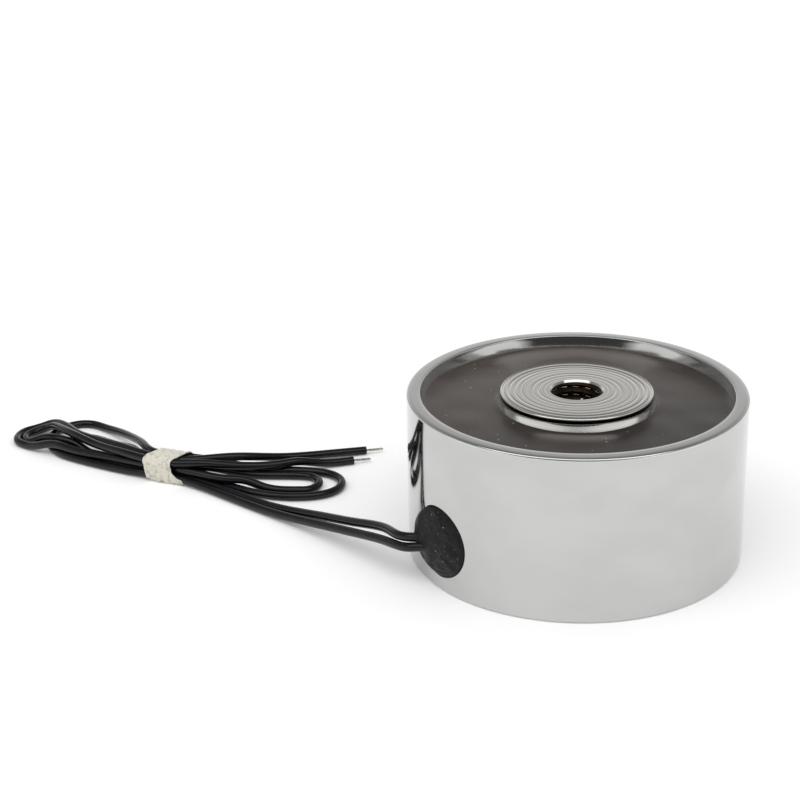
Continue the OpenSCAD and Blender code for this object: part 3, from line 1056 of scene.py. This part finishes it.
@dataclass
class LeadSeal:
    """The poured plug in the lead hole: a granular dome that creeps up both leads."""

    finish: SealCompound = field(default_factory=SealCompound)
    rings: int = 56
    columns: int = 168
    middle_share: float = 0.0004
    back_gap: float = 0.02
    coarse: Unevenness = Unevenness(0.05, 2.2, 11)
    fine: Unevenness = Unevenness(0.015, 0.9, 12)
    # The collar round each lead: height, spread, and how far inside the face it is measured
    collar: float = 0.22
    collar_spread: tuple[float, float] = (1.1, 0.75)
    collar_inset: float = 0.3
    # At the plug's edge the grain fades out, and the skin drops
    edge_fade: float = 9.0
    edge_drop: float = 0.1
    edge_steep: float = 12.0

    def build(self) -> bpy.types.Object:
        """Build the plug: rings of equal area on a sphere that lies off the hole's axis.

        Returns:
            The piece that stands for the plug.
        """
        a = round_angles(self.columns)
        radius = SEAL_R * np.sqrt(np.linspace(self.middle_share, 1, self.rings))
        flat = radius[:, None, None] * np.stack([np.cos(a), np.sin(a)], axis=-1)
        off = ((flat + (SEAL_LEAN, 0)) ** 2).sum(axis=-1)
        out = SEAL_FACE - SEAL_DOME_R + np.sqrt(SEAL_DOME_R ** 2 - off) + self.grain(flat)
        dome = from_hole(flat.reshape(-1, 2), out.ravel())
        back = from_hole(flat[-1], np.full(self.columns, SEAL_BACK + self.back_gap))
        faces = capped_grid(self.rings + 1, self.columns)
        piece = add_mesh("poured_lead_seal", np.vstack([dome, back]), faces, 60.0)
        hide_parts("lead_seal")
        piece.data.materials.append(self.finish.make())
        return piece

    def grain(self, flat: np.ndarray) -> np.ndarray:
        """Height of the plug's uneven skin, with a bell-shaped collar round each lead.

        Args:
            flat: Sideways and upward offsets from the hole's axis.

        Returns:
            One height for each point, which fades out and then drops at the plug's edge.
        """
        skin = self.coarse.over(flat) + self.fine.over(flat)
        for route in (ROUTE_A, ROUTE_B):
            start, leaves = np.array(route[:2])
            past = leaves @ HOLE_AXIS - SEAL_FACE + self.collar_inset
            centre = leaves - past / ((leaves - start) @ HOLE_AXIS) * (leaves - start)
            offset = flat - np.array([centre @ HOLE_SIDE, centre[2] - SEAL_Z])
            skin += self.collar * np.exp(-((offset / self.collar_spread) ** 2).sum(axis=-1))
        edge = np.linalg.norm(flat, axis=-1) / SEAL_R
        fade = np.clip((1 - edge) * self.edge_fade, 0, 1)
        drop = np.clip(edge * self.edge_steep - (self.edge_steep - 1), 0, 1)
        return skin * fade - self.edge_drop * drop


@dataclass
class Lead:
    """One insulated lead, from its joint in the pot to its stripped end."""

    name: str
    node: str
    tip_node: str
    route: Route
    insulation: bpy.types.Material
    metal: bpy.types.Material
    spacing: float = 0.4
    # The bare end's strands: size, how far they start inside, twist in radians per millimetre,
    # and how they fray and end unevenly
    strands: int = 7
    strand_r: float = TIP_D / 8
    strand_start: float = -0.6
    strand_rows: int = 40
    strand_sides: int = 8
    twist: float = 1.5
    fray: float = 0.25
    fray_start: float = 1.7
    uneven: float = 0.03
    # The bead of solder: half sizes, place, and how lumpy and how finely drawn it is
    bead_r: float = TIP_D / 2 * 0.9
    bead_half: float = 0.3
    bead_inset: float = 0.2
    bead_lump: float = 0.12
    bead_rows: int = 12
    bead_sides: int = 14
    bead_pole: float = 0.02

    def build(self) -> bpy.types.Object:
        """Build the lead, a round cord along its route, and its bare end.

        Returns:
            The lead's curve.
        """
        line = smooth_route(self.route, self.spacing, LEAD_D / 2)
        curve = bpy.data.curves.new(self.name, "CURVE")
        curve.dimensions = "3D"
        spline = curve.splines.new("POLY")
        spline.points.add(len(line) - 1)
        points = np.concatenate([line * MM, np.ones((len(line), 1))], axis=1)
        spline.points.foreach_set("co", points.ravel())
        spline.use_smooth = True
        curve.bevel_depth = LEAD_D / 2 * MM
        curve.bevel_resolution = 6
        curve.use_fill_caps = True
        curve.materials.append(self.insulation)
        lead = bpy.data.objects.new(self.name, curve)
        bpy.context.scene.collection.objects.link(lead)
        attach(lead, BODY)
        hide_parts(self.node)
        tip = self.tip()
        return lead

    def tip(self) -> bpy.types.Object:
        """The lead's bare end: tinned strands twisted together and tipped with solder.

        Each strand but the middle one is a helix, and some fray or end a little short.

        Returns:
            The piece that stands for the bare end.
        """
        end = np.array(self.route[-1])
        along = end - np.array(self.route[-2])
        along /= np.linalg.norm(along)
        side = np.cross(along, (0, 0, 1))
        side /= np.linalg.norm(side)
        up = np.cross(side, along)
        s = np.linspace(self.strand_start, TIP_LEN, self.strand_rows)
        a = round_angles(self.strand_sides)
        points, faces = [], []
        for k in range(self.strands):
            orbit = 0.0 if k == 0 else 2 * self.strand_r
            turn = 2 * math.pi * k / (self.strands - 1) + self.twist * s
            wide = orbit * (1 + self.fray * np.clip(s - self.fray_start, 0, 1) * math.sin(3 * k))
            y = (wide * np.cos(turn))[:, None] + self.strand_r * np.cos(a)
            z = (wide * np.sin(turn))[:, None] + self.strand_r * np.sin(a)
            reach = s * (1 - self.uneven * (k % 3) * (s > 1))
            strand = end + reach[:, None, None] * along + y[..., None] * side + z[..., None] * up
            faces += capped_grid(len(s), len(a), k * len(s) * len(a))
            points.append(strand.reshape(-1, 3))
        bead, bead_faces = self.bead(end + TIP_LEN * along, (along, side, up),
                                     self.strands * len(s) * len(a))
        piece = add_mesh(f"{self.name}_bare_end", np.concatenate([*points, bead]),
                         faces + bead_faces, 60.0)
        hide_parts(self.tip_node)
        piece.data.materials.append(self.metal)
        return piece

    def bead(self, at: np.ndarray, axes: tuple[np.ndarray, np.ndarray, np.ndarray],
             first: int) -> tuple[np.ndarray, list[list[int]]]:
        """The blob of solder at the very end: an ellipsoid, a little lumpy round its middle.

        Args:
            at: The end of the strands.
            axes: Directions along the lead and across it.
            first: Index of its first point.

        Returns:
            Its points and faces.
        """
        theta = np.linspace(self.bead_pole, math.pi - self.bead_pole, self.bead_rows)[:, None]
        phi = round_angles(self.bead_sides)
        lumpy = 1 + self.bead_lump * np.sin(2 * phi + 1.0) * np.sin(theta)
        wide = self.bead_r * lumpy * np.sin(theta)
        long = self.bead_half * np.cos(theta) - self.bead_inset + 0 * phi
        shares = np.stack([long, wide * np.cos(phi), wide * np.sin(phi)], axis=-1)
        points = at + shares @ np.array(axes)
        return points.reshape(-1, 3), capped_grid(len(theta), len(phi), first)


@dataclass
class HankTie:
    """The strip of paper tape wound round the hank, creased and a little askew."""

    finish: PaperTape = field(default_factory=PaperTape)
    around: int = 120
    along: int = 36
    half_width: float = 2.02
    # The path round the strands
    half_across: float = 1.92
    middle_up: float = 1.8
    half_up: float = 1.74
    squareness: float = 0.45
    thickness: float = 0.12
    shift: float = 0.9
    # How the strip runs askew, and the tab that sticks out on its right side
    lean: tuple[float, float, float] = (0.36, 0.12, 0.12)
    tab: float = 1.3
    tab_angle: float = math.radians(332)
    tab_spread: float = 0.4
    # Folds across the strip and finer wrinkles, each with its stretch along the three axes
    folds: Unevenness = Unevenness(0.05, 1.6, 21)
    fold_stretch: tuple[float, float, float] = (1.6, 0.5, 0.5)
    wrinkles: Unevenness = Unevenness(0.03, 0.8, 22)
    wrinkle_stretch: tuple[float, float, float] = (1.0, 1.2, 1.2)
    crease_limits: tuple[float, float] = (-0.05, 0.12)
    floor_gap: float = 0.02

    def build(self) -> bpy.types.Object:
        """Build the band: its path swept along the hank, in an outer and an inner layer.

        Returns:
            The piece that stands for the band.
        """
        a = round_angles(self.around)
        s = np.linspace(-1, 1, self.along)
        across, up = self.outline(a)
        askew, tilt, sway = self.lean
        lean = askew * across + tilt * (up - self.middle_up) + sway * np.sin(2 * a + 0.5)
        tab = self.tab * np.exp(-((a - self.tab_angle) / self.tab_spread) ** 4)
        right = np.clip(-s, 0, 1)[:, None] ** 3
        along = self.half_width * s[:, None] + lean - tab * right
        normal = np.stack([np.gradient(up), -np.gradient(across)], axis=-1)
        normal /= np.linalg.norm(normal, axis=1, keepdims=True)
        places = np.stack([along, across + 0 * along, up + 0 * along], axis=-1)
        crease = self.folds.over(places * self.fold_stretch)
        crease += self.wrinkles.over(places * self.wrinkle_stretch)
        layers = []
        for offset in (self.thickness, 0.0):
            lift = np.clip(crease, *self.crease_limits) + offset
            lowest = self.floor_gap + self.thickness - offset
            layers.append(np.stack([along, across + lift * normal[:, 0],
                                    np.maximum(up + lift * normal[:, 1], lowest)], axis=-1))
        local = np.concatenate([layers[0], layers[1][::-1]])
        heading = np.array([math.cos(TIE_HEADING), math.sin(TIE_HEADING)])
        side = np.array([-heading[1], heading[0]])
        plan = np.array(TIE_MID) + (local[..., :1] - self.shift) * heading + local[..., 1:2] * side
        points = np.concatenate([plan, local[..., 2:]], axis=-1)
        faces = quads_of_grid(len(points), self.around, True, True)
        piece = add_mesh("paper_band", points, faces.tolist(), 60.0)
        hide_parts("hank_tie")
        piece.data.materials.append(self.finish.make())
        return piece

    def outline(self, a: np.ndarray) -> tuple[np.ndarray, np.ndarray]:
        """The band's path round the strands: an ellipse made squarer by a power.

        Args:
            a: Angles round the path.

        Returns:
            Distances across the hank, and heights above the floor.
        """
        across, up = (np.sign(v) * np.abs(v) ** self.squareness for v in (np.cos(a), np.sin(a)))
        return self.half_across * across, self.middle_up + self.half_up * up


@dataclass
class HiddenPieces:
    """The pieces inside the pot, whose solids stay and get materials."""

    metal: bpy.types.Material

    def dress(self) -> None:
        """Dress the coil, its bobbin and the joints of the leads."""
        copper = EnamelledCopper().make()
        bobbin = MouldedPlastic("bobbin_nylon", Tone.NYLON, Tone.PAPER, 0.5).make()
        tape = MouldedPlastic("winding_tape", Tone.TAPE, Tone.PAPER, 0.3).make()
        sleeve = MouldedPlastic("splice_sleeve", Tone.SLEEVE, Tone.PAPER, 0.45).make()
        for nodes, material in ((("coil_winding", "coil_tail_a", "coil_tail_b"), copper),
                                (("coil_bobbin",), bobbin),
                                (("winding_tape",), tape),
                                (("splice_sleeve_a", "splice_sleeve_b"), sleeve),
                                (("solder_joint_a", "solder_joint_b"), self.metal)):
            for node in nodes:
                dress(node, material)
                LOG.info("%s is dressed", node)


@dataclass
class Studio:
    """The camera, the floor and the light."""

    camera_mm: tuple[float, float, float] = (0.0, -194.052, 97.822)
    pitch: float = math.radians(22.183)
    yaw: float = math.radians(-6.1335)
    roll: float = math.radians(-1.176)
    # The lens is 1775.5 pixels long in a picture 800 pixels wide
    sensor: float = 36.0
    lens: float = 1775.5 / 800 * 36
    # The floor in metres, and how it brightens with the distance from the object
    floor_size: float = 6.0
    glow_r: tuple[float, float] = (0.1, 0.4)
    glow: tuple[float, float] = (0.1, 1.0)
    # What metal mirrors: levels by height, straight up, and what lights all else
    sky: tuple[tuple[float, float], ...] = ((0.26, 0.86), (0.34, 0.74), (0.42, 0.5), (0.52, 0.38),
                                            (0.75, 0.26))
    zenith: tuple[float, float, float, float] = (0.2, 0.2, 0.21, 1.0)
    room: float = 0.66
    # Dark cards low down: heading and half width in degrees, and how they dip and fade
    flags: tuple[tuple[float, float], ...] = ((270.0, 30.0), (150.0, 9.0), (35.0, 9.0))
    flag_dip: float = -0.9
    flag_reach: float = 0.2
    flag_edge: float = 0.06
    flag_level: float = 0.06
    # The lamp, in metres
    lamp_at: tuple[float, float, float] = (0.0, -0.27, 0.6)
    lamp_size: tuple[float, float] = (1.3, 0.4)
    lamp_watts: float = 2.7

    def build_camera(self) -> None:
        """Add the camera at the photograph's viewpoint."""
        cp, sp = math.cos(self.pitch), math.sin(self.pitch)
        ahead = np.array([math.sin(self.yaw) * cp, math.cos(self.yaw) * cp, -sp])
        right = np.cross(ahead, (0, 0, 1))
        right /= np.linalg.norm(right)
        up = np.cross(right, ahead)
        c, s = math.cos(self.roll), math.sin(self.roll)
        right, up = c * right + s * up, c * up - s * right
        pose = np.eye(4)
        pose[:3, 0], pose[:3, 1], pose[:3, 2] = right, up, -ahead
        pose[:3, 3] = np.array(self.camera_mm) * MM
        data = bpy.data.cameras.new("camera")
        data.lens = self.lens
        data.sensor_width = self.sensor
        data.clip_start = 0.01
        data.clip_end = 50
        camera = bpy.data.objects.new("camera", data)
        camera.matrix_world = Matrix(pose.tolist())
        bpy.context.scene.collection.objects.link(camera)
        bpy.context.scene.camera = camera

    def build_floor(self) -> None:
        """Add the pale floor, which keeps the object's shadow and shows white further out."""
        half = self.floor_size / 2
        mesh = bpy.data.meshes.new("floor")
        mesh.from_pydata([(-half, -half, 0), (half, -half, 0), (half, half, 0), (-half, half, 0)],
                         [], [(0, 1, 2, 3)])
        floor = bpy.data.objects.new("floor", mesh)
        bpy.context.scene.collection.objects.link(floor)
        s = Shader("pale_floor")
        s.set(Base_Color=Tone.FLOOR, Roughness=1.0, Specular_IOR_Level=0.0)
        camera = s.add("LightPath", out="Is Camera Ray")
        seen = s.add("Math", (camera, camera.node.outputs["Is Glossy Ray"]), operation="MAXIMUM")
        glow = s.add("MapRange", (s.turned_place()[0], *self.glow_r, *self.glow))
        s.set(Emission_Color=WHITE, Emission_Strength=s.add("Math", (seen, glow),
                                                            operation="MULTIPLY"))
        mesh.materials.append(s.material)

    def flagged(self, s: NodeBuilder, way: Socket, light: Socket) -> Socket:
        """Darken the surroundings low down in a few directions, as black cards would.

        Args:
            s: The world's nodes.
            way: The direction of a ray.
            light: The surroundings' colour.

        Returns:
            The darkened colour.
        """
        for heading, half_width in self.flags:
            turn = math.radians(heading)
            low = (math.cos(turn), math.sin(turn), self.flag_dip)
            towards = s.add("VectorMath", (way, low), out="Value", operation="DOT_PRODUCT")
            edge = math.cos(math.radians(half_width)) - self.flag_reach
            shade = s.add("MapRange", (towards, edge - self.flag_edge, edge + self.flag_edge,
                                       1.0, self.flag_level))
            light = s.add("VectorMath", {0: light, "Scale": shade}, operation="SCALE")
        return light

    def build_world(self) -> None:
        """Add the soft surroundings, which metal mirrors as paler towards the horizon."""
        world = bpy.data.worlds.new("studio")
        bpy.context.scene.world = world
        world.use_nodes = True
        s = NodeBuilder(world.node_tree)
        way = s.add("TexCoord", out="Generated")
        ramp = s.add("ValToRGB", (s.add("SeparateXYZ", (way,), out="Z"),))
        stops = ramp.node.color_ramp.elements
        stops[0].position, stops[0].color = 0.0, WHITE
        stops[1].position, stops[1].color = 1.0, self.zenith
        for position, level in self.sky:
            stops.new(position).color = (level, level, level, 1.0)
        camera = s.add("LightPath", out="Is Camera Ray")
        glossy = camera.node.outputs["Is Glossy Ray"]
        room = (self.room, self.room, self.room, 1.0)
        mirrored = s.add("Mix", {0: glossy, 6: room, 7: self.flagged(s, way, ramp)}, **COLOURS)
        seen = s.add("Mix", {0: camera, 6: mirrored, 7: WHITE}, **COLOURS)
        s.give(s.nodes["Background"].inputs["Color"], seen)

    def build_lamp(self) -> None:
        """Add one soft lamp above, in front of the object and turned towards it."""
        lamp = bpy.data.lights.new("softbox", "AREA")
        lamp.shape = "RECTANGLE"
        lamp.size, lamp.size_y = self.lamp_size
        lamp.energy = self.lamp_watts
        holder = bpy.data.objects.new("softbox", lamp)
        holder.location = self.lamp_at
        x, y, z = -np.array(self.lamp_at)
        holder.rotation_euler = (math.atan2(math.hypot(x, y), -z), 0, math.atan2(y, x) - math.pi / 2)
        bpy.context.scene.collection.objects.link(holder)

    def build(self) -> None:
        """Add all of it, and show colours as they are written."""
        self.build_camera()
        self.build_floor()
        self.build_world()
        self.build_lamp()
        bpy.context.scene.view_settings.view_transform = "Standard"


def main() -> None:
    """Build the electromagnet's looks, in order."""
    logging.basicConfig(level=logging.INFO, format="%(name)s: %(message)s")
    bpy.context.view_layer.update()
    Studio().build()
    insulation = LeadInsulation().make()
    metal = TinnedCopper().make()
    leads = (Lead("lower_lead", "lead_a", "lead_tip_a", ROUTE_A, insulation, metal),
             Lead("upper_lead", "lead_b", "lead_tip_b", ROUTE_B, insulation, metal))
    for part in (*leads, PotShell(), PoleCore(), Potting(), LeadSeal(), HankTie()):
        LOG.info("%s is built", part.build().name)
    HiddenPieces(metal).dress()


if __name__ == "__main__":
    main()
